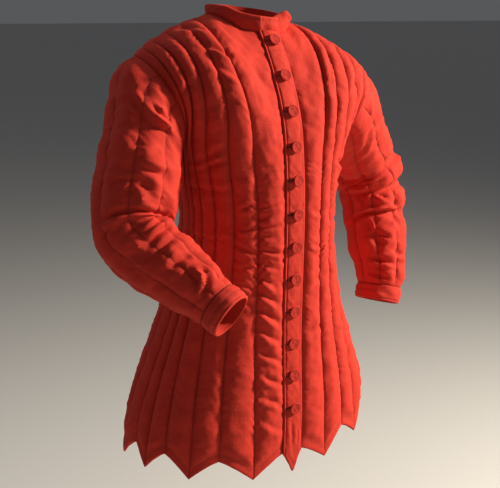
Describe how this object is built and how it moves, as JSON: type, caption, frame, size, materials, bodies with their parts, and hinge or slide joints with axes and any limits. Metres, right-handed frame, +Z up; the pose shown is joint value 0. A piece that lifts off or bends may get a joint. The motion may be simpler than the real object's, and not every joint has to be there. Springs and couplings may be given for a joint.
{
  "type": "gambeson",
  "caption": "Quilted padded gambeson in red cloth, buttoned down the front, with a low standing collar, sleeves and a dagged hem, shaped as worn with no wearer.",
  "frame": {"origin": "middle of the neck base, where the garment rests on the shoulders", "axes": "+Z up, -Y towards the front, -X towards the wearer's right"},
  "size_m": [0.7755, 0.4391, 0.8658],
  "materials": {
    "cloth": "matt woven red cloth, quilted over padding",
    "button_cloth": "matt woven red cloth drawn over a flat button"
  },
  "bodies": {
    "root": {"front_right": "cloth", "front_left": "cloth", "back": "cloth", "button_band": "cloth", "collar": "cloth", "sleeve_right": "cloth", "sleeve_left": "cloth", "cuff_right": "cloth", "cuff_left": "cloth", "button_01": "button_cloth", "button_02": "button_cloth", "button_03": "button_cloth", "button_04": "button_cloth", "button_05": "button_cloth", "button_06": "button_cloth", "button_07": "button_cloth", "button_08": "button_cloth", "button_09": "button_cloth", "button_10": "button_cloth", "button_11": "button_cloth", "button_12": "button_cloth"}
  },
  "joints": []
}
